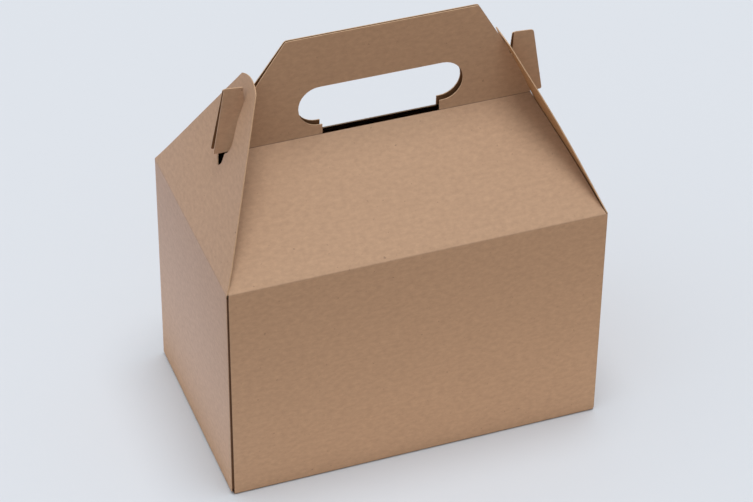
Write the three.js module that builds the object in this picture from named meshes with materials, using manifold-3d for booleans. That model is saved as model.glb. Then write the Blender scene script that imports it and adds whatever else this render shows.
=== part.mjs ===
// Gable box: a folded kraft carry-out carton with a double handle ridge and two gable flaps.
// Millimetres. X runs along the box, Y from the front to the back, Z up.
// The origin is the middle of the base.

import * as THREE from 'three';
import { mergeVertices } from 'three/addons/utils/BufferGeometryUtils.js';
import Module from 'manifold-3d';

const wasm = await Module();
wasm.setup();

// Board
const boardThickness = 0.6;
const creaseRadius = 0.9; // bend of the board's middle layer at a crease
const glueSink = 0.05; // how far two glued layers are pressed into each other

// Body
const insideLength = 216;
const insideDepth = 130;
const wallHeight = 139.4; // base to eave crease
const cornerRadius = 1.0; // outside of the upright creases

// Roof and ridge
const ridgeRise = 44.7; // eave crease to ridge crease
const ridgeSlot = 4.4; // clear gap between the two ridge creases

// Handle panels
const handleHeight = 61.3; // ridge crease to the top edge
const handleTopHalf = 53.2;
const handleTopSlot = 0.7; // clear gap between the two panels at the top edge
const handleCornerRadius = 2.5;
const handleSideFootRise = 32.6; // ridge crease to the lower end of the slanted side

// Hand hole: a long round-ended hole, open below into the ridge
const handHoleHalf = 46.9;
const handHoleRadius = 11.9;
const handHoleRise = 18; // ridge crease to the hole's middle
const ridgeCutHalf = 33.5; // half-length of the opening down to the crease

// Hooks at the ends of the handle panels, which reach out through the gable flaps
const hookFootOverhang = 6.1;
const hookShoulderOverhang = 12.2;
const hookTipRise = 40.4; // ridge crease to the tip of the hook
const hookShoulderDrop = 0.8; // the outer end of the tip is a little lower
const hookFootGap = 0.8; // the hook's lower edge is cut just above the crease
const hookFootRadius = 1.2;
const hookTipRadius = 2.2;
const notchDepth = 13.5; // hook tip to the bottom of the notch behind it
const notchWidth = 0.8;
const notchCornerRadius = 0.3;
const notchMouth = 3.4; // from the notch to the foot of the handle's slanted side
const prongClearance = 1.05; // hook to the upright tip of the flap

// Gable flaps
const flapLean = 0.475; // inward run for each millimetre of rise, at the middle
const flapSideEase = 0.15; // shares of that lean which the flap loses towards its sides,
const flapCornerEase = 0.55; // with the square and the fourth power of the distance
const flapBaseInset = 0.3; // side corner of the flap to the box's outer corner
const flapTipRadius = 17.5;
const flapTipBridge = 6.6; // board left above the slit
const flapBendAboveRidge = 15.4; // where the flap starts to turn upright
const flapBendLength = 20;
const slitPointLength = 4.2;
const slitTopRadius = 1.4;
const flapAcrossSteps = 16;
const flapRiseSteps = 22;

// Clearances between the pieces
const hingeGap = 0.3; // flap to the top of the side wall
const roofEndClearance = 0.4; // roof end to the inner face of the flap
const slitClearance = 0.45; // hooks to the sides of the slit
const swingClearance = 0.5; // hooks to the ends of the slit as the flap swings

// Glued seam at the front left corner
const glueFlapWidth = 20;
const glueFlapTaper = 5; // how much each end slants
const glueFlapEndGap = 2.5;
const seamGap = 0.35;
const seamInset = 1.1; // left outside face to the cut edge of the front panel

// Floor: two locked flaps with the end flaps glued on top of them
const floorLegWidth = 6; // floor strip that folds in with each wall
const floorSeamStep = 13; // the locking seam steps this far past the middle line
const floorSeamSlant = 16; // half-length of its slanted middle stretch
const floorSeamGap = 0.4;
const floorEndGap = 1.2; // ends of the locked flaps to the side walls
const endFlapReach = 52;
const endFlapTaper = 24;
const endFlapSideGap = 2;

// Finish
const kraftOutside = '#b8977b';
const kraftFlap = '#ac9279';

// Fineness of curves
const bendSteps = 4;
const curveSteps = 10;
const roofEndSteps = 6;
const cutMargin = 5; // how far a cutting outline passes the board

// Levels and places worked out from the sizes
const outsideHalf = insideLength / 2 + boardThickness;
const wallMiddleX = outsideHalf - boardThickness / 2;
const outsideFrontHalf = insideDepth / 2 + boardThickness;
const wallMiddleY = outsideFrontHalf - boardThickness / 2;
const ridgeLevel = wallHeight + ridgeRise;
const topLevel = ridgeLevel + handleHeight;
const ridgeMiddle = (ridgeSlot + boardThickness) / 2;
const topMiddle = (handleTopSlot + boardThickness) / 2;
const hingeReach = outsideHalf + hingeGap / 2;

// The three prism directions, as the axes that an outline's own axes turn into
const directions = {
  x: [new THREE.Vector3(0, 1, 0), new THREE.Vector3(0, 0, 1), new THREE.Vector3(1, 0, 0)],
  y: [new THREE.Vector3(1, 0, 0), new THREE.Vector3(0, 0, 1), new THREE.Vector3(0, -1, 0)],
  z: [new THREE.Vector3(1, 0, 0), new THREE.Vector3(0, 1, 0), new THREE.Vector3(0, 0, 1)],
};

// Closed geometry to a solid that can be joined and cut
function toSolid(geometry) {
  geometry.deleteAttribute('normal');
  geometry.deleteAttribute('uv');
  const merged = mergeVertices(geometry, 1e-4);
  return new wasm.Manifold(new wasm.Mesh({
    numProp: 3,
    vertProperties: new Float32Array(merged.attributes.position.array),
    triVerts: new Uint32Array(merged.index.array),
  }));
}

// Solid back to a geometry with flat-shaded faces
function toGeometry(solid) {
  const cut = solid.getMesh();
  const geometry = new THREE.BufferGeometry();
  geometry.setAttribute('position', new THREE.BufferAttribute(new Float32Array(cut.vertProperties), 3));
  geometry.setIndex(new THREE.BufferAttribute(new Uint32Array(cut.triVerts), 1));
  geometry.computeVertexNormals();
  return geometry;
}

// Straight prism of an outline along one axis, between two levels on that axis
function prism(outline, axis, from, to) {
  const geometry = new THREE.ExtrudeGeometry(outline, {
    depth: to - from,
    bevelEnabled: false,
    curveSegments: curveSteps,
  });
  geometry.translate(0, 0, axis === 'y' ? -to : from);
  geometry.applyMatrix4(new THREE.Matrix4().makeBasis(...directions[axis]));
  return toSolid(geometry);
}

// Closed outline through corners given as [across, up, radius]
function roundedOutline(corners) {
  const outline = new THREE.Shape();
  corners.forEach(([x, y, radius = 0], i) => {
    const here = new THREE.Vector2(x, y);
    const before = new THREE.Vector2(...corners.at(i - 1));
    const after = new THREE.Vector2(...corners[(i + 1) % corners.length]);
    const back = before.sub(here).normalize();
    const ahead = after.sub(here).normalize();
    const halfAngle = Math.acos(THREE.MathUtils.clamp(back.dot(ahead), -1, 1)) / 2;
    const reach = radius / Math.tan(halfAngle);
    const start = here.clone().addScaledVector(back, reach);
    const end = here.clone().addScaledVector(ahead, reach);
    if (i === 0) {
      outline.moveTo(start.x, start.y);
    } else {
      outline.lineTo(start.x, start.y);
    }
    if (radius > 0) {
      outline.quadraticCurveTo(x, y, end.x, end.y);
    }
  });
  outline.closePath();
  return outline;
}

// Section of folded board: a strip of the board's thickness along its middle line,
// bent to the crease radius at each inner corner
function foldedStrip(corners) {
  const middle = corners.map(([x, y]) => new THREE.Vector2(x, y));
  const left = [];
  const right = [];
  const addPoint = (point, normal) => {
    left.push(point.clone().addScaledVector(normal, boardThickness / 2));
    right.push(point.clone().addScaledVector(normal, -boardThickness / 2));
  };
  const normalOf = (from, to) => {
    const along = to.clone().sub(from).normalize();
    return new THREE.Vector2(-along.y, along.x);
  };
  addPoint(middle[0], normalOf(middle[0], middle[1]));
  for (let i = 1; i < middle.length - 1; i += 1) {
    const before = normalOf(middle[i - 1], middle[i]);
    const after = normalOf(middle[i], middle[i + 1]);
    const turn = Math.atan2(before.cross(after), before.dot(after));
    const side = Math.sign(turn);
    const bisector = before.clone().add(after).normalize();
    const toCentre = side * creaseRadius / Math.cos(turn / 2);
    const centre = middle[i].clone().addScaledVector(bisector, toCentre);
    for (let step = 0; step <= bendSteps; step += 1) {
      const normal = before.clone().rotateAround(new THREE.Vector2(), turn * step / bendSteps);
      addPoint(centre.clone().addScaledVector(normal, -side * creaseRadius), normal);
    }
  }
  addPoint(middle.at(-1), normalOf(middle.at(-2), middle.at(-1)));
  return new THREE.Shape([...left, ...right.reverse()]);
}

// Inward run of the flap's outer face at a rise above the eave and a place across the box:
// straight at first, then curving until the tip stands upright
function flapRun(rise, across) {
  const bendStart = ridgeRise + flapBendAboveRidge;
  const bent = THREE.MathUtils.clamp(rise - bendStart, 0, flapBendLength);
  const leaning = Math.min(rise, bendStart + flapBendLength) - bent * bent / (2 * flapBendLength);
  const side = (across / outsideFrontHalf) ** 2;
  return leaning * flapLean * (1 - flapSideEase * side - flapCornerEase * side * side);
}

// Level thickness of the leaning board, and the run of its inner face
const flapLevelThickness = boardThickness * Math.hypot(1, flapLean);
const flapInnerRun = (rise, across) => flapRun(rise, across) + flapLevelThickness;

// Where the flap's outer face crosses the middle of the box, measured from the box's middle
const flapReach = (rise) => outsideHalf - flapRun(rise, 0);

// Half-distance over the outer faces of the two handle panels at a rise above the ridge crease
function panelSpread(rise) {
  return THREE.MathUtils.lerp(ridgeMiddle, topMiddle, rise / handleHeight) + boardThickness / 2;
}

// Ends of the roof: they follow the inner face of the gable flap, from the eave up to the ridge
function roofEndPoints() {
  return Array.from({ length: roofEndSteps + 1 }, (_, i) => {
    const rise = ridgeRise * i / roofEndSteps;
    const across = THREE.MathUtils.lerp(outsideFrontHalf, ridgeMiddle, i / roofEndSteps);
    return [outsideHalf - flapInnerRun(rise, across) - roofEndClearance, wallHeight + rise];
  });
}

// Right half of the front view, from the base up to the handle's top edge
function rightProfile() {
  const tipReach = flapReach(ridgeRise + hookTipRise);
  const tipLevel = ridgeLevel + hookTipRise;
  const footLevel = ridgeLevel + hookFootGap;
  const notchMiddle = tipReach - flapLevelThickness / 2;
  const notchLevel = tipLevel - notchDepth;
  const roofEnd = roofEndPoints();
  const [ridgeEnd] = roofEnd.at(-1);
  return [
    [outsideHalf + cutMargin, -cutMargin],
    [outsideHalf + cutMargin, wallHeight - hingeGap / 2],
    [roofEnd[0][0], wallHeight - hingeGap / 2],
    ...roofEnd,
    [ridgeEnd, footLevel],
    [flapReach(ridgeRise) + hookFootOverhang, footLevel, hookFootRadius],
    [tipReach + hookShoulderOverhang, tipLevel - hookShoulderDrop, hookTipRadius],
    [tipReach + prongClearance, tipLevel, notchWidth],
    [notchMiddle + notchWidth / 2, notchLevel, notchCornerRadius],
    [notchMiddle - notchWidth / 2, notchLevel, notchCornerRadius],
    [notchMiddle - notchMouth + notchWidth / 2, ridgeLevel + handleSideFootRise, hookFootRadius],
    [handleTopHalf, topLevel, handleCornerRadius],
  ];
}

// Front view of the two panels: the right half and its mirror image, with the hand hole
function frontOutline() {
  const right = rightProfile();
  const left = right.map(([x, z, radius]) => [-x, z, radius]).reverse();
  const outline = roundedOutline([...right, ...left]);
  outline.holes.push(handHole());
  return outline;
}

// Hand hole with the wide cut that runs down to the ridge crease
function handHole() {
  const level = ridgeLevel + handHoleRise;
  const bottom = level - handHoleRadius;
  const straight = handHoleHalf - handHoleRadius;
  const hole = new THREE.Path();
  hole.moveTo(-ridgeCutHalf, ridgeLevel);
  hole.lineTo(ridgeCutHalf, ridgeLevel);
  hole.lineTo(ridgeCutHalf, bottom);
  hole.absarc(straight, level, handHoleRadius, -Math.PI / 2, Math.PI / 2, false);
  hole.absarc(-straight, level, handHoleRadius, Math.PI / 2, Math.PI * 1.5, false);
  hole.lineTo(-ridgeCutHalf, bottom);
  hole.closePath();
  return hole;
}

// Front or back sheet: floor strip, wall, roof and handle panel folded from one strip of board
function foldedSheet(side) {
  const section = foldedStrip([
    [side * (wallMiddleY - floorLegWidth), boardThickness / 2],
    [side * wallMiddleY, boardThickness / 2],
    [side * wallMiddleY, wallHeight],
    [side * ridgeMiddle, ridgeLevel],
    [side * topMiddle, topLevel],
  ]);
  return prism(section, 'x', -outsideHalf, outsideHalf);
}

// Side wall, with the strip of its end flap that folds in over the floor
function sideWall(side) {
  const section = foldedStrip([
    [side * (wallMiddleX - floorLegWidth), boardThickness * 1.5],
    [side * wallMiddleX, boardThickness * 1.5],
    [side * wallMiddleX, wallHeight - hingeGap / 2],
  ]);
  return prism(section, 'y', -outsideFrontHalf, outsideFrontHalf);
}

// Floor flap of the front sheet; its free edge steps across the middle line to lock with the other
function floorFlap() {
  const end = wallMiddleX - floorEndGap;
  const edge = floorSeamStep - floorSeamGap / 2;
  const lowEdge = -floorSeamStep - floorSeamGap / 2;
  return prism(roundedOutline([
    [-end, -wallMiddleY + creaseRadius],
    [end, -wallMiddleY + creaseRadius],
    [end, lowEdge, cornerRadius],
    [floorSeamSlant, lowEdge],
    [-floorSeamSlant, edge],
    [-end, edge, cornerRadius],
  ]), 'z', 0, boardThickness);
}

// End flap of the left wall, glued down on the two locked flaps
function endFlap() {
  const start = -wallMiddleX + creaseRadius;
  const half = insideDepth / 2 - endFlapSideGap;
  const tip = -wallMiddleX + endFlapReach;
  return prism(roundedOutline([
    [start, -half],
    [tip, -half + endFlapTaper, cornerRadius],
    [tip, half - endFlapTaper, cornerRadius],
    [start, half],
  ]), 'z', boardThickness - glueSink, boardThickness * 2);
}

// Glue flap of the left wall, inside the front panel
function glueFlap() {
  const start = -wallMiddleX;
  const end = -insideLength / 2 + glueFlapWidth;
  const low = boardThickness * 2 + glueFlapEndGap;
  const high = wallHeight - glueFlapEndGap;
  const inner = -insideDepth / 2;
  return prism(roundedOutline([
    [start, low],
    [end, low + glueFlapTaper],
    [end, high - glueFlapTaper],
    [start, high],
  ]), 'y', inner - glueSink, inner + boardThickness);
}

// Thin open seam beside the cut edge of the front panel
function seamCut() {
  const start = -outsideHalf + seamInset;
  return prism(roundedOutline([
    [start, -outsideFrontHalf - cutMargin],
    [start + seamGap, -outsideFrontHalf - cutMargin],
    [start + seamGap, -insideDepth / 2],
    [start, -insideDepth / 2],
  ]), 'z', glueFlapEndGap * 2, wallHeight - glueFlapEndGap * 2);
}

// Plan of the box with rounded upright creases
function planOutline() {
  return roundedOutline([
    [-outsideHalf, -outsideFrontHalf, cornerRadius],
    [outsideHalf, -outsideFrontHalf, cornerRadius],
    [outsideHalf, outsideFrontHalf, cornerRadius],
    [-outsideHalf, outsideFrontHalf, cornerRadius],
  ]);
}

// The carton, folded and glued from one blank
function makeCarton() {
  const sheets = foldedSheet(-1).add(foldedSheet(1));
  const frontView = prism(frontOutline(), 'y', -outsideFrontHalf - cutMargin, outsideFrontHalf + cutMargin);
  const halfTurn = [0, 0, 180];
  return sheets
    .intersect(frontView)
    .add(sideWall(-1))
    .add(sideWall(1))
    .intersect(prism(planOutline(), 'z', -cutMargin, topLevel + cutMargin))
    .add(floorFlap())
    .add(floorFlap().rotate(halfTurn))
    .add(endFlap())
    .add(endFlap().rotate(halfTurn))
    .add(glueFlap())
    .subtract(seamCut());
}

// Leaf-shaped slit that the hooks reach through, drawn across the box and up from the hinge
function slitOutline(footRise, topRise) {
  const half = (rise) => panelSpread(rise - ridgeRise) + slitClearance;
  const shoulder = topRise - slitTopRadius;
  const outline = new THREE.Shape();
  outline.moveTo(0, footRise - slitPointLength);
  outline.quadraticCurveTo(half(footRise), footRise - slitPointLength / 2, half(footRise), footRise);
  outline.lineTo(half(shoulder), shoulder);
  outline.quadraticCurveTo(half(shoulder), topRise, 0, topRise);
  outline.quadraticCurveTo(-half(shoulder), topRise, -half(shoulder), shoulder);
  outline.lineTo(-half(footRise), footRise);
  outline.quadraticCurveTo(-half(footRise), footRise - slitPointLength / 2, 0, footRise - slitPointLength);
  return outline;
}

// Flap outline: straight sides that run into a round tip
function flapOutline(tipRise) {
  const half = outsideFrontHalf - flapBaseInset;
  const centre = tipRise - flapTipRadius;
  const slant = Math.asin(flapTipRadius / Math.hypot(half, centre)) - Math.atan2(centre, half);
  const start = Math.PI / 2 + slant;
  const outline = new THREE.Shape();
  outline.moveTo(-half, hingeGap / 2);
  outline.lineTo(half, hingeGap / 2);
  outline.absarc(0, centre, flapTipRadius, start, Math.PI - start, false);
  outline.closePath();
  return outline;
}

// Gable flap, measured from its hinge line, leaning towards plus X
function makeFlap() {
  const offset = hingeReach - outsideHalf;
  const footReach = flapReach(ridgeRise) + hookFootOverhang;
  const footRadius = Math.hypot(hingeReach - footReach, ridgeRise + hookFootGap);
  const tipReach = flapReach(ridgeRise + hookTipRise) + prongClearance;
  const tipRadius = Math.hypot(hingeReach - tipReach, ridgeRise + hookTipRise);
  const slitFoot = (footRadius - swingClearance) / Math.hypot(1, flapLean);
  const uprightRun = offset + flapInnerRun(ridgeRise + hookTipRise, 0);
  const slitTop = Math.sqrt((tipRadius + swingClearance) ** 2 - uprightRun ** 2);
  const tipRise = slitTop + flapTipBridge;
  const width = 2 * (outsideFrontHalf + cutMargin);
  const sheet = new THREE.BoxGeometry(flapLevelThickness, width, tipRise, 1, flapAcrossSteps, flapRiseSteps);
  sheet.translate(flapLevelThickness / 2, 0, tipRise / 2);
  const points = sheet.attributes.position;
  for (let i = 0; i < points.count; i += 1) {
    points.setX(i, points.getX(i) + offset + flapRun(points.getZ(i), points.getY(i)));
  }
  return toSolid(sheet)
    .intersect(prism(flapOutline(tipRise), 'x', -cutMargin, outsideHalf))
    .subtract(prism(slitOutline(slitFoot, slitTop), 'x', -cutMargin, outsideHalf));
}

// Named mesh with a material of its own
function makeMesh(name, geometry, colour) {
  const material = new THREE.MeshStandardMaterial({ color: colour, roughness: 0.86, metalness: 0 });
  const mesh = new THREE.Mesh(geometry, material);
  mesh.name = name;
  return mesh;
}

const gableBox = new THREE.Group();
gableBox.add(makeMesh('folded_carton', toGeometry(makeCarton()), kraftOutside));

// The right flap is the left one turned round
[['left_gable_flap', -1], ['right_gable_flap', 1]].forEach(([name, side]) => {
  const flap = makeMesh(name, toGeometry(makeFlap()), kraftFlap);
  flap.position.set(side * hingeReach, 0, wallHeight);
  flap.rotation.z = side > 0 ? Math.PI : 0;
  gableBox.add(flap);
});

export default gableBox;
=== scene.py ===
from math import asin, atan2, cos, hypot, pi, radians, sin

import bpy
import numpy as np
from mathutils import Matrix, Vector
from mathutils.geometry import delaunay_2d_cdt


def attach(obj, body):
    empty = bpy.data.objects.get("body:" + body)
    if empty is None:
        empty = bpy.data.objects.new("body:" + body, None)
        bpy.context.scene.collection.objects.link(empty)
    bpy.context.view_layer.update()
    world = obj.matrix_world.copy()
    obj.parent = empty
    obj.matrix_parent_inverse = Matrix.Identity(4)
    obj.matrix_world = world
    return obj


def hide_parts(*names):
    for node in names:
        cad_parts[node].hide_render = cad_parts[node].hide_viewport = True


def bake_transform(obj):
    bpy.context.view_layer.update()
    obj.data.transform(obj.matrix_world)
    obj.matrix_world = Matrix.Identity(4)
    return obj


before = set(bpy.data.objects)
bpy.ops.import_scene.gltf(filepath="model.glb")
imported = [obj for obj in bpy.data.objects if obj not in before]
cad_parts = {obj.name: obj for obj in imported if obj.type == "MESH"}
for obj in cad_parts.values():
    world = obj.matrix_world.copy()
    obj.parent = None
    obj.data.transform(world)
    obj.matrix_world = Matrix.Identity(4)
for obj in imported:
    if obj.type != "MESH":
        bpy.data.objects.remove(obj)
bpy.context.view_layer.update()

# A folded kraft carry-out carton. Shapes are worked out in millimetres on the flat blank and
# folded up by formula; toMetres turns them into metres when a mesh is made.
toMetres = 0.001

# The board and the folded box, as in the CAD model
board = {"thickness": 0.6, "creaseRadius": 0.9, "cornerRadius": 0.7}
box = {
    "halfLength": 108.6, "halfDepth": 65.6, "wallHeight": 139.4,
    "ridgeRise": 44.7, "ridgeSlot": 4.4,
    "handleHeight": 61.3, "handleTopSlot": 0.7,
    "cornerCut": 0.5, "spacing": 5,
}
half = board["thickness"] / 2
ridgeLevel = box["wallHeight"] + box["ridgeRise"]
topLevel = ridgeLevel + box["handleHeight"]
ridgeMiddle = (box["ridgeSlot"] + board["thickness"]) / 2
topMiddle = (box["handleTopSlot"] + board["thickness"]) / 2
wallX = box["halfLength"] - half       # middle layer of the walls
wallY = box["halfDepth"] - half


# Small tools for shapes

# Steps on each round stretch, and across each crease
steps = {"corner": 6, "holeEnd": 16, "slitCurve": 6, "slitSide": 23, "roofEnd": 9, "flapTip": 32,
         "crease": 4}


def foldPath(corners, radius):
    # Straight stretches joined by arcs of one radius: start, heading, curvature and place of each
    points = np.array(corners, float)
    sides = np.diff(points, axis=0)
    headings = np.arctan2(sides[:, 1], sides[:, 0])
    turns = (np.diff(headings) + pi) % (2 * pi) - pi
    trims = radius * np.tan(np.abs(turns) / 2)
    before = np.append(0, trims)
    lengths = np.hypot(*sides.T) - before - np.append(trims, 0)
    towards = np.stack([np.cos(headings), np.sin(headings)], 1)
    lineStarts = points[:-1] + towards * before[:, None]
    arcStarts = lineStarts + towards * lengths[:, None]
    count = 2 * len(headings) - 1
    path = {"points": np.empty((count, 2)), "headings": np.repeat(headings, 2)[:count],
            "curves": np.zeros(count), "lengths": np.empty(count)}
    path["points"][0::2] = lineStarts
    path["points"][1::2] = arcStarts[:-1]
    path["curves"][1::2] = np.sign(turns) / radius
    path["lengths"][0::2] = lengths
    path["lengths"][1::2] = np.abs(turns) * radius
    path["starts"] = np.append(0, np.cumsum(path["lengths"]))[:-1]
    return path


def walkPath(path, along):
    # chord = along * sin(turned / 2) / (turned / 2), laid off at heading + turned / 2
    index = np.clip(np.searchsorted(path["starts"], along, side="right") - 1, 0, None)
    past = along - path["starts"][index]
    turned = past * path["curves"][index]
    chord = past * np.sinc(turned / (2 * pi))
    heading = path["headings"][index]
    towards = np.stack([np.cos(heading + turned / 2), np.sin(heading + turned / 2)], -1)
    return path["points"][index] + chord[..., None] * towards, heading + turned


def roundedLoop(corners):
    # Points through corners (x, y) or (x, y, radius); each round one is a quadratic curve
    loop = []
    for i, corner in enumerate(corners):
        here = np.array(corner[:2], float)
        radius = corner[2] if len(corner) > 2 else 0
        if not radius:
            loop.append(here[None])
            continue
        back = np.array(corners[i - 1][:2]) - here
        ahead = np.array(corners[(i + 1) % len(corners)][:2]) - here
        back /= np.hypot(*back)
        ahead /= np.hypot(*ahead)
        halfAngle = np.arccos(np.clip(back @ ahead, -1, 1)) / 2
        reach = radius / np.tan(halfAngle)
        t = np.linspace(0, 1, steps["corner"] + 1)[:, None]
        loop.append(here + reach * (back * (1 - t) ** 2 + ahead * t ** 2))
    return np.concatenate(loop)


def densify(loop, spacing):
    # The closed loop again, with points added so that no side is longer than spacing
    ahead = np.roll(loop, -1, axis=0)
    counts = np.maximum(1, np.ceil(np.hypot(*(ahead - loop).T) / spacing)).astype(int)
    index = np.repeat(np.arange(len(loop)), counts)
    step = np.arange(len(index)) - np.repeat(np.cumsum(counts) - counts, counts)
    t = (step / counts[index])[:, None]
    return loop[index] * (1 - t) + ahead[index] * t


def insideLoops(points, loops):
    # Even-odd rule: a point is inside where a level ray to its right crosses an odd number of sides
    crossings = np.zeros(len(points), int)
    for loop in loops:
        ahead = np.roll(loop, -1, axis=0)
        x, y = points[:, :1], points[:, 1:]
        spans = (loop[:, 1] > y) != (ahead[:, 1] > y)
        climb = np.where(ahead[:, 1] == loop[:, 1], 1, ahead[:, 1] - loop[:, 1])
        slope = (ahead[:, 0] - loop[:, 0]) / climb
        crossings += (spans & (x < loop[:, 0] + (y - loop[:, 1]) * slope)).sum(1)
    return crossings % 2 == 1


# Shares of the spacing: how far the grid keeps off outlines and guide lines, and the steps on
# these; tolerance is how near two points in mm count as one
netting = {"rimShare": 0.45, "guideShare": 0.3, "guideStep": 2, "tolerance": 1e-5}


def triangulate(loops, guides, spacing):
    # Flat triangles inside the first loop and outside the others, with edges along the guide lines
    loops = [densify(loop, spacing) for loop in loops]
    low, high = loops[0].min(0), loops[0].max(0)
    columns, rows = (np.arange(low[i], high[i], spacing) for i in (0, 1))
    grid = np.stack(np.meshgrid(columns, rows), -1)
    grid[1::2, :, 0] += spacing / 2
    grid = grid.reshape(-1, 2)
    grid = grid[insideLoops(grid, loops)]
    rims = np.concatenate(loops)
    gaps = np.sqrt(((grid[:, None] - rims[None]) ** 2).sum(-1)).min(1)
    grid = grid[gaps > spacing * netting["rimShare"]]
    for start, end in guides:
        axis = 0 if start[0] == end[0] else 1
        away = np.abs(grid[:, axis] - start[axis])
        grid = grid[away > spacing * netting["guideShare"]]
    edges, count = [], 0
    for loop in loops:
        index = np.arange(len(loop)) + count
        edges.append(np.stack([index, np.roll(index, -1)], 1))
        count += len(loop)
    stretches = []
    for start, end in guides:
        length = hypot(end[0] - start[0], end[1] - start[1])
        parts = int(np.ceil(length / (netting["guideStep"] * spacing)))
        t = np.linspace(0, 1, parts + 1)[:, None]
        stretches.append(np.array(start) * (1 - t) + np.array(end) * t)
        edges.append(np.stack([np.arange(parts), np.arange(parts) + 1], 1) + count)
        count += parts + 1
    points = np.concatenate([rims, *stretches, grid])
    edges = np.concatenate(edges).tolist()
    result = delaunay_2d_cdt(points.tolist(), edges, [], 0, netting["tolerance"], False)
    flat, triangles = np.array(result[0], float), np.array(result[2], int)
    triangles = triangles[insideLoops(flat[triangles].mean(1), loops)]
    used, triangles = np.unique(triangles, return_inverse=True)
    return flat[used], triangles.reshape(-1, 3)


def surfaceNormals(points, triangles):
    # Sum of the normals of the faces at each point, each weighted by its area
    a, b, c = (points[triangles[:, i]] for i in range(3))
    faces = np.cross(b - a, c - a)
    normals = np.zeros_like(points)
    for i in range(3):
        np.add.at(normals, triangles[:, i], faces)
    return normals / np.linalg.norm(normals, axis=1, keepdims=True)


faceKinds = {"outside": 0, "inside": 1, "cutEdge": 2, "paintedSeamShade": 3, "paintedShadeBetweenHandles": 4}
sharpAngle = 40      # degrees between faces, from which an edge is drawn sharp


def makeBoard(name, points, triangles, uv, materials, paintedCreaseShade, isPaintedSeamShade=None, isPaintedHandleShade=None):
    # Board of full thickness about its middle surface: outside, inside and the cut edges. The
    # per-point shares darken the creases with painted shade; the two masks pick the flat places
    # with painted shade, in the glued seam and between the handle panels
    normals = surfaceNormals(points, triangles)
    count = len(points)
    sides = np.concatenate([triangles[:, [0, 1]], triangles[:, [1, 2]], triangles[:, [2, 0]]])
    keys = sides.min(1) * count + sides.max(1)
    _, first, times = np.unique(keys, return_index=True, return_counts=True)
    a, b = sides[first[times == 1]].T
    rim = np.concatenate([np.stack([b, a, a + count], 1),
                          np.stack([b, a + count, b + count], 1)])
    faces = np.concatenate([triangles, triangles[:, ::-1] + count, rim])
    kinds = np.repeat([faceKinds["outside"], faceKinds["inside"], faceKinds["cutEdge"]],
                      [len(triangles), len(triangles), len(rim)])
    # Painted shade: faces in the glued seam and inner faces between the handle panels take the
    # darker boards
    if isPaintedSeamShade is not None:
        middles = np.concatenate([uv, uv])[faces].mean(1)
        kinds[isPaintedSeamShade(middles) & (kinds != faceKinds["inside"])] = faceKinds["paintedSeamShade"]
        kinds[isPaintedHandleShade(middles) & (kinds == faceKinds["inside"])] = faceKinds["paintedShadeBetweenHandles"]
    corners = np.concatenate([points + normals * half, points - normals * half]) * toMetres
    mesh = bpy.data.meshes.new(name)
    mesh.from_pydata(corners.tolist(), [], faces.tolist())
    mesh.polygons.foreach_set("material_index", kinds)
    mesh.polygons.foreach_set("use_smooth", np.ones(len(faces), bool))
    layer = mesh.uv_layers.new(name="blank")
    flatCorners = (np.concatenate([uv, uv]) * toMetres)[faces.ravel()]
    layer.data.foreach_set("uv", flatCorners.ravel())
    creaseShadeLayer = mesh.attributes.new("paintedCreaseShade", "FLOAT", "POINT")
    creaseShadeLayer.data.foreach_set("value", np.concatenate([paintedCreaseShade, paintedCreaseShade]).astype(np.float32))
    for material in materials:
        mesh.materials.append(material)
    mesh.update()
    mesh.set_sharp_from_angle(angle=radians(sharpAngle))
    piece = bpy.data.objects.new(name, mesh)
    bpy.context.scene.collection.objects.link(piece)
    print(name, len(faces), "triangles")
    return piece


# Materials

def linearColour(code):
    # sRGB hex colour to linear red, green, blue, alpha
    channels = np.array([int(code[i:i + 2], 16) for i in (1, 3, 5)]) / 255
    linear = np.where(channels <= 0.04045, channels / 12.92,
                      ((channels + 0.055) / 1.055) ** 2.4)
    return (*linear.tolist(), 1.0)


def addNode(tree, kind, settings=None, links=None):
    # One node: settings by property or input name, links by input name or number to another
    # node's output
    node = tree.nodes.new("ShaderNode" + kind)
    for key, value in (settings or {}).items():
        if hasattr(node, key):
            setattr(node, key, value)
        else:
            node.inputs[key].default_value = value
    for key, socket in (links or {}).items():
        tree.links.new(socket, node.inputs[key])
    return node


def newMaterial(name):
    # A material with an empty tree
    material = bpy.data.materials.new(name)
    material.use_nodes = True
    material.node_tree.nodes.clear()
    return material, material.node_tree


# Sizes in mm. Each pattern is a noise drawn out by its stretch along the sheet, of which one range
# becomes a range of shares of the board's tone
kraft = {
    "roughness": 0.86, "specular": 0.25, "bumpHeight": 0.03, "bumpStrength": 0.35,
    "mottling": {"size": 22, "stretch": 1, "detail": 3.0, "roughness": 0.5,
                 "noise": (0.3, 0.7), "shares": (0.988, 1.012)},
    "fibres": {"size": 2.4, "stretch": 1.6, "detail": 4.0, "roughness": 0.65,
               "noise": (0.25, 0.75), "shares": (0.89, 1.11)},
    "darkFibres": {"size": 2.2, "stretch": 1, "detail": 1.0, "roughness": 0.5,
                   "noise": (0.73, 0.82), "shares": (1, 0.65)},
}


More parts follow.
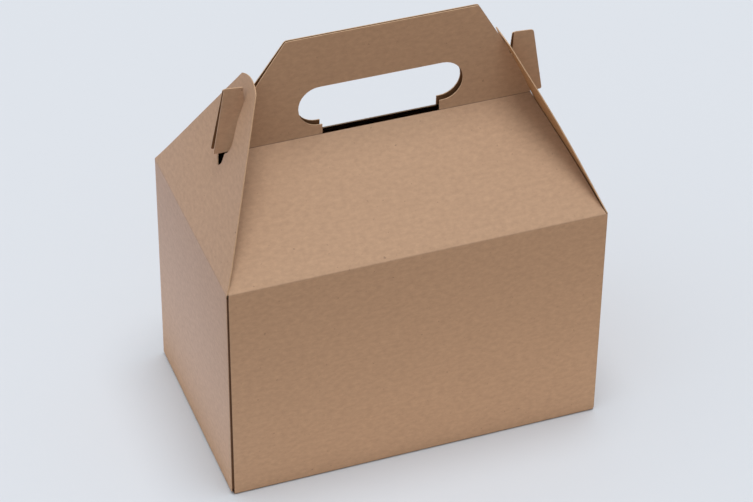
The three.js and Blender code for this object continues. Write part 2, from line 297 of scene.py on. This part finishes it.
def kraftBoard(name, tone, values=kraft):
    # Unbleached kraft board, uncoated: long brown fibres pressed flat, with a few dark ones.
    # Its colour is the tone times the shares of the three patterns and of the shade painted along
    # the creases
    material, tree = newMaterial(name)
    place = addNode(tree, "UVMap", {"uv_map": "blank"}).outputs["UV"]
    noises, shades = {}, []
    for key in ("mottling", "fibres", "darkFibres"):
        pattern = values[key]
        drawnOut = addNode(tree, "Mapping", {"Scale": (1 / pattern["stretch"], 1, 1)},
                           {"Vector": place})
        noises[key] = addNode(tree, "TexNoise",
                              {"Scale": 1 / (pattern["size"] * toMetres),
                               "Detail": pattern["detail"], "Roughness": pattern["roughness"]},
                              {"Vector": drawnOut.outputs["Vector"]}).outputs["Fac"]
        (low, high), (first, last) = pattern["noise"], pattern["shares"]
        shades.append(addNode(tree, "MapRange", {"From Min": low, "From Max": high,
                                                 "To Min": first, "To Max": last},
                              {"Value": noises[key]}).outputs["Result"])
    # Shade painted along the creases, from the mesh's per-point attribute
    paintedCreaseShade = addNode(tree, "Attribute", {"attribute_name": "paintedCreaseShade"}).outputs["Fac"]
    shades.append(addNode(tree, "MapRange", {"To Min": 1, "To Max": 0},
                          {"Value": paintedCreaseShade}).outputs["Result"])
    whole = shades[0]
    for shade in shades[1:]:
        whole = addNode(tree, "Math", {"operation": "MULTIPLY"}, {0: whole, 1: shade}).outputs[0]
    colour = addNode(tree, "VectorMath", {"operation": "SCALE", "Vector": linearColour(tone)[:3]},
                     {"Scale": whole})
    bump = addNode(tree, "Bump", {"Strength": values["bumpStrength"],
                                  "Distance": values["bumpHeight"] * toMetres},
                   {"Height": noises["fibres"]})
    surface = addNode(tree, "BsdfPrincipled",
                      {"Roughness": values["roughness"], "Specular IOR Level": values["specular"]},
                      {"Base Color": colour.outputs[0], "Normal": bump.outputs["Normal"]})
    addNode(tree, "OutputMaterial", {}, {"Surface": surface.outputs["BSDF"]})
    return material


# The same board on every face; the last two are painted darker, with the shade that falls in the
# glued seam and between the handle panels
outsideFace = kraftBoard("kraft_board_outside", "#bc9b80")
insideFace = kraftBoard("kraft_board_inside", "#ba936c")
cutEdge = kraftBoard("kraft_board_die_cut_edge", "#c3a384")
seamShade = kraftBoard("kraft_board_painted_shade_in_glued_seam", "#5b3f2b")
paintedHandleShade = kraftBoard("kraft_board_painted_shade_between_handles", "#8a6444")
boardFaces = [outsideFace, insideFace, cutEdge, seamShade, paintedHandleShade]
print("materials made")


# The surface of the gable flaps, which the roof ends and the hooks follow too

# Across and rise are measured from the middle of the flap's crease
flap = {
    "bendStart": 23.7, "bendLength": 41.5, "tipRadius": 25.5,
    "slitPoint": 35.9, "slitPointLength": 4.2, "slitTopRadius": 3.0, "slitClearance": 0.3,
    "gapeEnd": 47, "frontGapeStart": 45.3, "frontGapeEnd": 74,
    "frontGapePowers": (0.55, 1.3),      # of the way up the gape, and of its sine
    "baseStrip": 1.5,          # strip below the crease, which stays on the side wall
    "baseHalf": 64.6, "baseRise": -0.4,
    "creaseHalf": 65.2, "creaseRise": 0.3, "creaseSoftness": 0.5, "guideHalf": 80,
    "lipRise": 58, "lipLength": 13, "lipWidth": 9, "lipStart": 1.5,
    "spacing": 3.2, "paintedCreaseShade": 0.1,
}
# The two flaps settled a little differently: -1 is the left one, 1 the right one. lip is how far
# the front side of the slit stands out; gape and frontGape are how far the hooks hold its rear and
# its front side open
flapSides = {
    -1: {"lean": 0.4763, "sideEase": 0.419, "cornerEase": -0.5, "bendShare": 0.23,
         "peak": 86.5, "slitTop": 74.8, "gape": 1.6, "frontGape": 5.0, "lip": 2.4},
    1: {"lean": 0.4718, "sideEase": 0.395, "cornerEase": -0.323, "bendShare": 0.04,
        "peak": 84.3, "slitTop": 79.5, "gape": 0.0, "frontGape": 0.0, "lip": 0.5},
}
# The hooks stand footGap over the ridge and reach out past the notch in which the flap rests; the
# back one ends backDrop lower
hook = {
    "footGap": 0.8, "footRadius": 1.2, "backDrop": 2.1,
    "notchDepth": 13.5, "notchWidth": 0.8, "notchCornerRadius": 0.3, "notchMouth": 3.4,
    "roofEndClearance": 0.4,
}
# What the board's settling made a little different at the left and the right end
hookSides = {
    -1: {"footX": 94.6, "shoulderX": 87.4, "tipX": 76.9, "tipRise": 38.9, "shoulderDrop": -1.0,
         "shoulderRadius": 1.0, "notchX": 76.4, "topHalf": 53.2},
    1: {"footX": 93.5, "shoulderX": 87.5, "tipX": 76.35, "tipRise": 40.4, "shoulderDrop": 0.8,
        "shoulderRadius": 2.2, "notchX": 75.0, "topHalf": 55.4},
}
# The handle panels, with the hand hole and the cut that joins it to the ridge
handle = {
    "cornerRadius": 2.5, "sideFootRise": 32.6,
    "holeHalf": 46.9, "holeRadius": 11.9, "holeRise": 18, "cutHalf": 33.5,
}


def flapRun(rise, across, way):
    # leaning * lean * (1 - sideEase * side - cornerEase * side ** 2), where side is
    # (across / halfDepth) ** 2 and leaning grows with the rise, along a parabola in the bend that
    # takes bendShare of the slope away
    bent = np.clip(rise - flap["bendStart"], 0, flap["bendLength"])
    past = np.clip(rise - flap["bendStart"] - flap["bendLength"], 0, None)
    leaning = rise - way["bendShare"] * (bent ** 2 / (2 * flap["bendLength"]) + past)
    side = (across / box["halfDepth"]) ** 2
    return leaning * way["lean"] * (1 - way["sideEase"] * side - way["cornerEase"] * side ** 2)


# The thickness of a leaning flap, measured level
levelThickness = board["thickness"] * hypot(1, flapSides[1]["lean"])


def panelSpread(rise):
    # Middle of the box to the outer face of a handle panel, at a rise above the ridge
    return ridgeMiddle + (topMiddle - ridgeMiddle) * rise / box["handleHeight"] + half


# The folded carton: one flat blank, folded by formula

# The front panel ends at frontStart and lies on the glue flap, which runs on behind it to glueEnd,
# between glueLow and glueHigh at its fold
seam = {
    "frontStart": 107.0, "glueLayer": 0.02, "glueEnd": 88, "glueLow": 3.7, "glueHigh": 136.9,
    "glueTaper": 5, "glueStart": 1.1, "bendShare": 0.55, "edge": 0.02,
}
# The long flaps lock along a stepped edge in the middle of the floor; the end flaps lie on them
floorFlaps = {
    "end": 107.1, "step": 13, "slant": 16, "gap": 0.4, "root": 1.2, "reach": 80, "notchLevel": 1.6,
    "endReach": 51.7, "endHalf": 63, "endTaper": 24,
}
glueY = -(wallY - board["thickness"] - seam["glueLayer"])
planPath = foldPath([(-seam["frontStart"], -wallY), (wallX, -wallY), (wallX, wallY),
                     (-wallX, wallY), (-wallX, glueY), (-seam["glueEnd"], glueY)],
                    board["cornerRadius"])
sectionPath = foldPath([(-floorFlaps["reach"], half), (0, half), (0, box["wallHeight"]),
                        (ridgeMiddle - wallY, ridgeLevel), (topMiddle - wallY, topLevel)],
                       board["creaseRadius"])
sidePath = foldPath([(-floorFlaps["reach"], 3 * half), (0, 3 * half), (0, box["wallHeight"])],
                    board["creaseRadius"])

# From the foot of the wall to past the handle's top
table = {"past": 70, "steps": 4000}
alongTable = np.linspace(sectionPath["starts"][2], sectionPath["starts"][-1] + table["past"],
                         table["steps"])
levelTable = walkPath(sectionPath, alongTable)[0][:, 1]


def alongAt(level):
    # Distance along the section of the front or back where it is at a level above the floor fold
    return np.interp(level, levelTable, alongTable)


# The share of its tone that the board loses in the middle of each crease, as painted shade
paintedCreaseShares = {"floor": 0.55, "eave": 0.12, "ridge": 0.7, "upright": 0.08}
# The back eave has settled inwards and down, evenly along the eave but not at its two ends
rearBow = {"in": 1.8, "down": 0.9, "start": 60, "evenness": 4}
# The side walls' section starts a board's thickness higher than the front's; sideShift brings the
# levels of both in line on the blank, and any level on the wall gives it
onWall = 70
sideShift = alongAt(onWall) - (sidePath["starts"][2] + onWall - sidePath["points"][2][1])
lineStarts = planPath["starts"][0::2]         # front, right wall, back, left wall, glue flap
lineLengths = planPath["lengths"][0::2]


# Along the blank to a place on each panel, counted from the front panel's edge at the glued seam
def frontU(x):
    return x + seam["frontStart"]


def backU(x):
    return lineStarts[2] + planPath["points"][4][0] - x


def rightU(y):
    return lineStarts[1] + y - planPath["points"][2][1]


def leftU(y):
    return lineStarts[3] + planPath["points"][6][1] - y


def endProfile(drop, side):
    # One end of a roof panel, the hook, the notch and the slanted side of the handle panel, as on
    # the right; drop is how far this panel's hook ends below the other one's
    own = {**hook, **hookSides[side]}
    share = np.linspace(0, 1, steps["roofEnd"] + 1)
    rise = box["ridgeRise"] * share
    across = box["halfDepth"] + (ridgeMiddle - box["halfDepth"]) * share
    inward = np.maximum(flapRun(rise, across, flapSides[-1]), flapRun(rise, across, flapSides[1]))
    roofX = box["halfLength"] - inward - levelThickness - hook["roofEndClearance"]
    tip = ridgeLevel + own["tipRise"] - drop
    foot = ridgeLevel + hook["footGap"]
    notchX = own["notchX"]
    notchZ = ridgeLevel + own["tipRise"] - hook["notchDepth"]
    width = hook["notchWidth"] / 2
    return [
        *zip(roofX.tolist(), (box["wallHeight"] + rise).tolist()),
        (roofX[-1], foot),
        (own["footX"], foot, hook["footRadius"]),
        (own["shoulderX"], tip - own["shoulderDrop"], own["shoulderRadius"]),
        (own["tipX"], tip, 2 * width),
        (notchX + width, notchZ, hook["notchCornerRadius"]),
        (notchX - width, notchZ, hook["notchCornerRadius"]),
        (notchX - hook["notchMouth"] + width, ridgeLevel + handle["sideFootRise"],
         hook["footRadius"]),
        (own["topHalf"], topLevel, handle["cornerRadius"]),
    ]


underEaves = [(-100, 100), (100, 100)]      # close the outline while its corners are rounded


def panelTop(drop=0):
    # Roof and handle outline from the right eave over the top to the left eave, as (x, level)
    right = endProfile(drop, 1)
    left = [(-corner[0], *corner[1:]) for corner in reversed(endProfile(drop, -1))]
    closed = roundedLoop([*right, *left, *underEaves])
    return closed[:-len(underEaves)]


def handHole():
    # Long sides joined by half circles, with a straight cut from the lower side down to the ridge
    level = ridgeLevel + handle["holeRise"]
    straight = handle["holeHalf"] - handle["holeRadius"]
    angles = np.linspace(-pi / 2, pi / 2, steps["holeEnd"] + 1)
    right = np.stack([straight + handle["holeRadius"] * np.cos(angles),
                      level + handle["holeRadius"] * np.sin(angles)], 1)
    low = level - handle["holeRadius"]
    cut = handle["cutHalf"]
    start = [(-cut, ridgeLevel), (cut, ridgeLevel), (cut, low)]
    return np.concatenate([start, right, right[::-1] * (-1, 1), [(-cut, low)]])


def toBlank(outline, place):
    # (x, level) points of a front view to (u, v) on the blank
    return np.stack([place(outline[:, 0]), alongAt(outline[:, 1])], 1)


def floorEdge(place, side):
    # Free edge of a locked floor flap, left to right on the blank
    reach = floorFlaps["reach"] - wallY
    gap = floorFlaps["gap"] / 2
    far = reach - floorFlaps["step"] + gap
    near = reach + floorFlaps["step"] + gap
    end = floorFlaps["end"]
    root = floorFlaps["reach"] - floorFlaps["root"]
    x = np.array([-end, -end, -floorFlaps["slant"], floorFlaps["slant"], end, end])
    v = np.array([root, far, far, near, near, root])
    return np.stack([place(x * side), v], 1)


def endFlap(place, side):
    # Flap of a side wall that folds in over the floor, left to right on the blank
    root = floorFlaps["reach"] - floorFlaps["root"] + sideShift
    tip = floorFlaps["reach"] - floorFlaps["endReach"] + sideShift
    wide, narrow = floorFlaps["endHalf"], floorFlaps["endHalf"] - floorFlaps["endTaper"]
    y = side * np.array([-wide, -narrow, narrow, wide])
    return np.stack([place(y), [root, tip, tip, root]], 1)


def cornerPoint(corner, level):
    # Point in the middle of an upright crease
    middle = planPath["starts"][2 * corner + 1] + planPath["lengths"][2 * corner + 1] / 2
    return np.array([[middle, alongAt(level)]])


def blankLoops():
    # The whole cut line of the blank, from the front floor flap round to the front's roof and
    # handle, and the hand hole in both handle panels
    low, cut = floorFlaps["notchLevel"], box["wallHeight"] - box["cornerCut"]
    wallTop = alongAt(box["wallHeight"] - flap["baseStrip"])
    wall = flap["baseHalf"]
    glueStart = planPath["starts"][8]
    glueEnd = glueStart + planPath["lengths"][8]
    top, backTop = panelTop(), panelTop(hook["backDrop"])
    outline = np.concatenate([
        floorEdge(frontU, 1),
        cornerPoint(0, low),
        endFlap(rightU, 1),
        cornerPoint(1, low),
        floorEdge(backU, -1),
        cornerPoint(2, low),
        endFlap(leftU, -1),
        [(glueStart - seam["glueStart"], alongAt(low)), (glueStart, alongAt(seam["glueLow"])),
         (glueEnd, alongAt(seam["glueLow"] + seam["glueTaper"])),
         (glueEnd, alongAt(seam["glueHigh"] - seam["glueTaper"])),
         (glueStart, alongAt(seam["glueHigh"])),
         (glueStart - seam["glueStart"], wallTop), (leftU(wall), wallTop)],
        cornerPoint(2, cut),
        toBlank(backTop[::-1], backU),
        cornerPoint(1, cut),
        [(rightU(wall), wallTop), (rightU(-wall), wallTop)],
        cornerPoint(0, cut),
        toBlank(top, frontU),
    ])
    hole = handHole()
    return [outline, toBlank(hole, frontU), toBlank(hole, backU)]


margin = 0.01        # for points that lie just on a panel's edge


def foldBlank(flat):
    # place = plan(u) + outward(u) * section(v), level = section(v); then the back's eave bows in
    # and down, by a share that grows with the square of the height on the wall and fades to the
    # ridge
    u, v = flat.T
    plan, heading = walkPath(planPath, u)
    outward = np.stack([np.sin(heading), -np.cos(heading)], 1)
    section, _ = walkPath(sectionPath, v)
    side, _ = walkPath(sidePath, v - sideShift)
    reach = lineStarts + lineLengths + margin
    onFront = u < reach[0]
    onBack = (u > lineStarts[2] - margin) & (u < reach[2])
    section = np.where((onFront | onBack)[:, None], section, side)
    points = np.concatenate([plan + outward * section[:, :1], section[:, 1:]], 1)
    x, y, z = points.T
    below = np.clip((z - rearBow["start"]) / (box["wallHeight"] - rearBow["start"]), 0, 1)
    above = np.clip((ridgeLevel - z) / box["ridgeRise"], 0, 1)
    alongEave = 1 - (x / box["halfLength"]) ** rearBow["evenness"]
    share = np.where(z < box["wallHeight"], below ** 2, above) * alongEave
    share = np.where((y > 0) & onBack, share, 0)
    return points - np.stack([0 * x, share * rearBow["in"], share * rearBow["down"]], 1)


def paintedCreaseShading(flat):
    # Painted shade along the creases: 1 - distance / half the bend at each crease, times how dark
    # that crease is
    u, v = flat.T
    paintedCreaseShade = np.zeros(len(u))
    bends = [(sectionPath, i, v, name) for i, name in ((1, "floor"), (3, "eave"), (5, "ridge"))]
    bends += [(planPath, i, u, "upright") for i in (1, 3, 5, 7)]
    for path, i, along, name in bends:
        reach = path["lengths"][i] / 2
        near = np.clip(1 - np.abs(along - path["starts"][i] - reach) / reach, 0, 1)
        paintedCreaseShade = np.maximum(paintedCreaseShade, paintedCreaseShares[name] * near)
    return paintedCreaseShade


def paintedSeamShade(middles):
    # Where shade is painted in the glued seam: the glue flap with the inner part of its bend, and
    # the cut edge of the front panel
    bend = planPath["starts"][7] + seam["bendShare"] * planPath["lengths"][7]
    return (middles[:, 0] > bend) | (middles[:, 0] < seam["edge"])


def paintedShadeBetweenHandles(middles):
    # Where shade is painted on the inner faces between the handle panels: above the ridge, on the
    # front or the back panel
    return (middles[:, 1] > alongAt(ridgeLevel)) & (middles[:, 0] < lineStarts[3])


def creaseLines(path, from_, to, shift=0, upright=False):
    # Guide lines through the arcs of a path, so that each bend gets edges of its own
    arcs = range(1, len(path["starts"]), 2)
    share = np.linspace(0, 1, steps["crease"] + 1)
    places = np.concatenate([path["starts"][i] + path["lengths"][i] * share for i in arcs])
    if upright:
        return [((p, from_), (p, to)) for p in places + shift]
    return [((from_, p), (to, p)) for p in places + shift]


# Where the creases' guide lines start and end: past the blank, and short of the next panel
guideReach = {"blank": (-20, 400), "panel": 0.6, "wallStart": 0.5, "wallEnd": 0.7}


def foldedCarton():
    # The flat triangles, with edges along every crease, each point folded to its place
    front, right, back, left, glue = lineStarts
    corner = {key: value[:2] for key, value in sidePath.items()}      # side walls have no roof
    low, high = guideReach["blank"]
    panel, wallStart, wallEnd = (guideReach[key] for key in ("panel", "wallStart", "wallEnd"))
    guides = creaseLines(planPath, low, high, upright=True)
    guides += creaseLines(sectionPath, front + low, right - panel)
    guides += creaseLines(sectionPath, back - panel, left - panel)
    guides += creaseLines(corner, right - wallStart, back - wallEnd, sideShift)
    guides += creaseLines(corner, left - wallStart, glue - wallEnd, sideShift)
    flat, triangles = triangulate(blankLoops(), guides, box["spacing"])
    return makeBoard("kraft_carton", foldBlank(flat), triangles, flat, boardFaces,
                     paintedCreaseShading(flat), paintedSeamShade, paintedShadeBetweenHandles)


carton = foldedCarton()
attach(carton, "carton")
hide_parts("folded_carton")


# The gable flaps

def slitLoop(footRise, way):
    # Leaf-shaped slit for the hooks, as (across, rise); near its foot the hooks hold it open
    topRise = way["slitTop"]

    def width(rise):
        # Half the slit's width: both handle panels and a clearance
        return panelSpread(rise - box["ridgeRise"]) + flap["slitClearance"]
    shoulder = topRise - flap["slitTopRadius"]
    t = np.linspace(0, 1, steps["slitCurve"] + 1)[:, None]

    def curve(a, b, c):
        # Quadratic curve from a to c that heads for b
        return np.array(a) * (1 - t) ** 2 + 2 * np.array(b) * t * (1 - t) + np.array(c) * t ** 2
    point = (0, footRise - flap["slitPointLength"])
    foot = (width(footRise), footRise)
    lower = curve(point, (foot[0], footRise - flap["slitPointLength"] / 2), foot)
    upper = curve((width(shoulder), shoulder), (width(shoulder), topRise), (0, topRise))
    rises = np.linspace(footRise, shoulder, steps["slitSide"] + 1)[1:-1]
    column = [(width(rise), rise) for rise in rises]
    side = np.concatenate([lower, column, upper])
    opened = np.clip((side[:, 1] - point[1]) / (flap["gapeEnd"] - point[1]), 0, 1)
    rear = side + np.stack([way["gape"] * np.sin(pi * opened), 0 * opened], 1)
    start, end = flap["frontGapeStart"], flap["frontGapeEnd"]
    early, narrow = flap["frontGapePowers"]
    opened = np.clip((side[:, 1] - start) / (end - start), 0, 1) ** early
    front = side + np.stack([way["frontGape"] * np.sin(pi * opened) ** narrow, 0 * opened], 1)
    return np.concatenate([rear, front[-2:0:-1] * (-1, 1)])


def flapShape(way):
    # Outline and slit of the flap as (across, rise)
    centre = way["peak"] - flap["tipRadius"]
    side = flap["creaseHalf"]
    slant = asin(flap["tipRadius"] / hypot(side, centre)) - atan2(centre, side)
    angles = np.linspace(pi / 2 + slant, pi / 2 - slant, steps["flapTip"] + 1)
    tipArc = flap["tipRadius"] * np.stack([np.cos(angles), np.sin(angles)], 1) + (0, centre)
    tipArc = tipArc[np.argsort(-tipArc[:, 0])]
    base, strip = flap["baseHalf"], flap["baseStrip"]
    low, high = flap["baseRise"], flap["creaseRise"]
    outline = np.concatenate([[(-base, -strip), (base, -strip), (base, low), (side, high)],
                              tipArc, [(-side, high), (-base, low)]])
    return [outline, slitLoop(flap["slitPoint"] + flap["slitPointLength"], way)]


def bendFlap(flat, way):
    # inward = flapRun(softened rise, across) from the wall's middle layer; z = eave + rise.
    # The lip is a smooth bump on the front side of the slit: a bell in the rise that fades away
    # from the slit
    across, rise = flat.T
    soft = flap["creaseSoftness"]
    eased = np.where(rise < -soft, 0, np.where(rise > soft, rise, (rise + soft) ** 2 / (4 * soft)))
    fromSlit = np.clip(-across - flap["lipStart"], 0, None) / flap["lipWidth"]
    bell = np.exp(-((rise - flap["lipRise"]) / flap["lipLength"]) ** 2 - fromSlit ** 2)
    x = wallX - flapRun(eased, across, way) + way["lip"] * bell * (across < 0)
    return np.stack([x, across, box["wallHeight"] + rise], 1)


def gableFlap(name, side):
    # The flat shape bent inwards, x times side; its place on the blank is measured from the crease
    soft, reach = flap["creaseSoftness"], flap["guideHalf"]
    rises = np.linspace(-soft, soft, steps["crease"] + 1)
    guides = [((-reach, rise), (reach, rise)) for rise in rises]
    way = flapSides[side]
    flat, triangles = triangulate(flapShape(way), guides, flap["spacing"])
    if side < 0:
        triangles = triangles[:, ::-1]
    points = bendFlap(flat, way) * (side, 1, 1)
    place = rightU if side > 0 else leftU
    crease = alongAt(box["wallHeight"] - flap["baseStrip"]) + flap["baseStrip"]
    v = crease + flat[:, 1] * hypot(1, way["lean"])
    uv = np.stack([place(points[:, 1]), v], 1)
    # Shade painted along the flap's crease
    paintedCreaseShade = flap["paintedCreaseShade"] * np.clip(1 - np.abs(flat[:, 1]) / soft, 0, 1)
    return makeBoard(name, points, triangles, uv, boardFaces, paintedCreaseShade)


gableFlaps = ((-1, "left_flap", "left_gable_flap"), (1, "right_flap", "right_gable_flap"))
for side, body, node in gableFlaps:
    piece = gableFlap("kraft_" + body, side)
    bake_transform(piece)
    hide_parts(node)
print("flaps made")


# Stage, light and camera

# Lengths here in metres, angles in degrees
stage = {
    # The paper as seen by the camera, and as it lights the carton: further out it sends up less
    "floor": "#d4d9e0", "bounce": "#f6f0e8", "farBounce": "#ab9884", "bounceEnd": (0.24, 0.38),
    "floorHalf": 6, "floorDrop": 0.0001,
    "worldLow": 0.12, "worldHigh": 0.7, "worldLeft": 0.32,
    "sun": 1.72, "sunAngle": 32, "sunTowards": (-0.04, 0.015, -0.95),
}
# Patches of floor that send up light which the camera doesn't see: a cool one beside the left wall
# and a warm one before the front. Each edge is an axis, where there is none and where it is full
glows = [
    {"colour": "#8ebfff", "strength": 1.45,
     "edges": [("X", -0.125, -0.17), ("X", -0.5, -0.4), ("Y", -0.15, -0.05)]},
    {"colour": "#ffe9d2", "strength": 0.2,
     "edges": [("Y", -0.068, -0.09), ("Y", -0.34, -0.24), ("X", -0.2, -0.02)]},
]


def addGlow(tree, surface, seen, place, glow):
    # The surface plus an emission of strength * (1 - seen by the camera) inside the edges
    share = addNode(tree, "MapRange", {"To Min": glow["strength"], "To Max": 0}, {"Value": seen})
    for axis, none, full in glow["edges"]:
        edge = addNode(tree, "MapRange", {"From Min": none, "From Max": full},
                       {"Value": place.outputs[axis]})
        share = addNode(tree, "Math", {"operation": "MULTIPLY"},
                        {0: share.outputs[0], 1: edge.outputs["Result"]})
    light = addNode(tree, "Emission", {"Color": linearColour(glow["colour"])},
                    {"Strength": share.outputs[0]})
    return addNode(tree, "AddShader", {}, {0: surface, 1: light.outputs[0]}).outputs[0]


def floorMaterial():
    # Matt pale paper sweep: no gloss, and a soft shadow. Unseen by the camera it is darker further
    # out, and patches of it glow to light the carton
    material, tree = newMaterial("matt_paper_sweep")
    seen = addNode(tree, "LightPath").outputs["Is Camera Ray"]
    position = addNode(tree, "NewGeometry").outputs["Position"]
    away = addNode(tree, "VectorMath", {"operation": "LENGTH"}, {"Vector": position})
    near, far = stage["bounceEnd"]
    share = addNode(tree, "MapRange", {"From Min": near, "From Max": far},
                    {"Value": away.outputs["Value"]})
    bounce = addNode(tree, "MixRGB", {"Color1": linearColour(stage["bounce"]),
                                      "Color2": linearColour(stage["farBounce"])},
                     {"Fac": share.outputs["Result"]})
    tones = addNode(tree, "MixRGB", {"Color2": linearColour(stage["floor"])},
                    {"Color1": bounce.outputs[0], "Fac": seen})
    surface = addNode(tree, "BsdfDiffuse", {}, {"Color": tones.outputs[0]}).outputs[0]
    place = addNode(tree, "SeparateXYZ", {}, {"Vector": position})
    for glow in glows:
        surface = addGlow(tree, surface, seen, place, glow)
    addNode(tree, "OutputMaterial", {}, {"Surface": surface})
    return material


def studioWorld():
    # White sky, brighter towards the zenith and towards the left
    world = bpy.data.worlds.new("studio")
    world.use_nodes = True
    tree = world.node_tree
    background = tree.nodes["Background"]
    background.inputs["Color"].default_value = (1, 1, 1, 1)
    direction = addNode(tree, "TexCoord").outputs["Generated"]
    towards = addNode(tree, "SeparateXYZ", {}, {"Vector": direction})
    rising = addNode(tree, "MapRange", {"To Min": stage["worldLow"], "To Max": stage["worldHigh"]},
                     {"Value": towards.outputs["Z"]})
    leftward = addNode(tree, "MapRange", {"From Max": -1, "To Max": stage["worldLeft"]},
                       {"Value": towards.outputs["X"]})
    total = addNode(tree, "Math", {"operation": "ADD"},
                    {0: rising.outputs["Result"], 1: leftward.outputs["Result"]})
    tree.links.new(total.outputs[0], background.inputs["Strength"])
    return world


floorMesh = bpy.data.meshes.new("floor")
corners = np.array([(-1, -1, 0), (1, -1, 0), (1, 1, 0), (-1, 1, 0)]) * stage["floorHalf"]
floorMesh.from_pydata(corners.tolist(), [], [(0, 1, 2, 3)])
floorMesh.materials.append(floorMaterial())
floor = bpy.data.objects.new("floor", floorMesh)
bpy.context.scene.collection.objects.link(floor)
floor.location.z = -stage["floorDrop"]
bpy.context.scene.world = studioWorld()

sun = bpy.data.objects.new("soft_key", bpy.data.lights.new("soft_key", "SUN"))
sun.data.energy = stage["sun"]
sun.data.angle = radians(stage["sunAngle"])
sun.rotation_euler = Vector(stage["sunTowards"]).to_track_quat("-Z", "Y").to_euler()
bpy.context.scene.collection.objects.link(sun)

# The photo's camera, worked out from the corners of the box: position, lens and sensor in mm
view = {"azimuth": -20.5355, "elevation": 37.4778, "roll": 0.6719,
        "position": (-444.1663, -1183.4621, 1063.5577), "lens": 136.405, "sensor": 36}


def placeCamera():
    # Axes of the camera from its azimuth, elevation and roll about the line of sight
    a, e, r = (radians(view[key]) for key in ("azimuth", "elevation", "roll"))
    back = np.array([sin(a) * cos(e), -cos(a) * cos(e), sin(e)])
    right = np.cross(-back, (0, 0, 1))
    right /= np.linalg.norm(right)
    up = np.cross(right, -back)
    columns = [cos(r) * right + sin(r) * up, -sin(r) * right + cos(r) * up, back]
    camera = bpy.data.objects.new("photo_camera", bpy.data.cameras.new("photo_camera"))
    camera.data.lens = view["lens"]
    camera.data.sensor_width = view["sensor"]
    matrix = np.eye(4)
    matrix[:3, :3] = np.stack(columns, 1)
    matrix[:3, 3] = np.array(view["position"]) * toMetres
    camera.matrix_world = Matrix(matrix.tolist())
    bpy.context.scene.collection.objects.link(camera)
    bpy.context.scene.camera = camera


placeCamera()
bpy.context.scene.view_settings.view_transform = "Standard"
print("stage made")
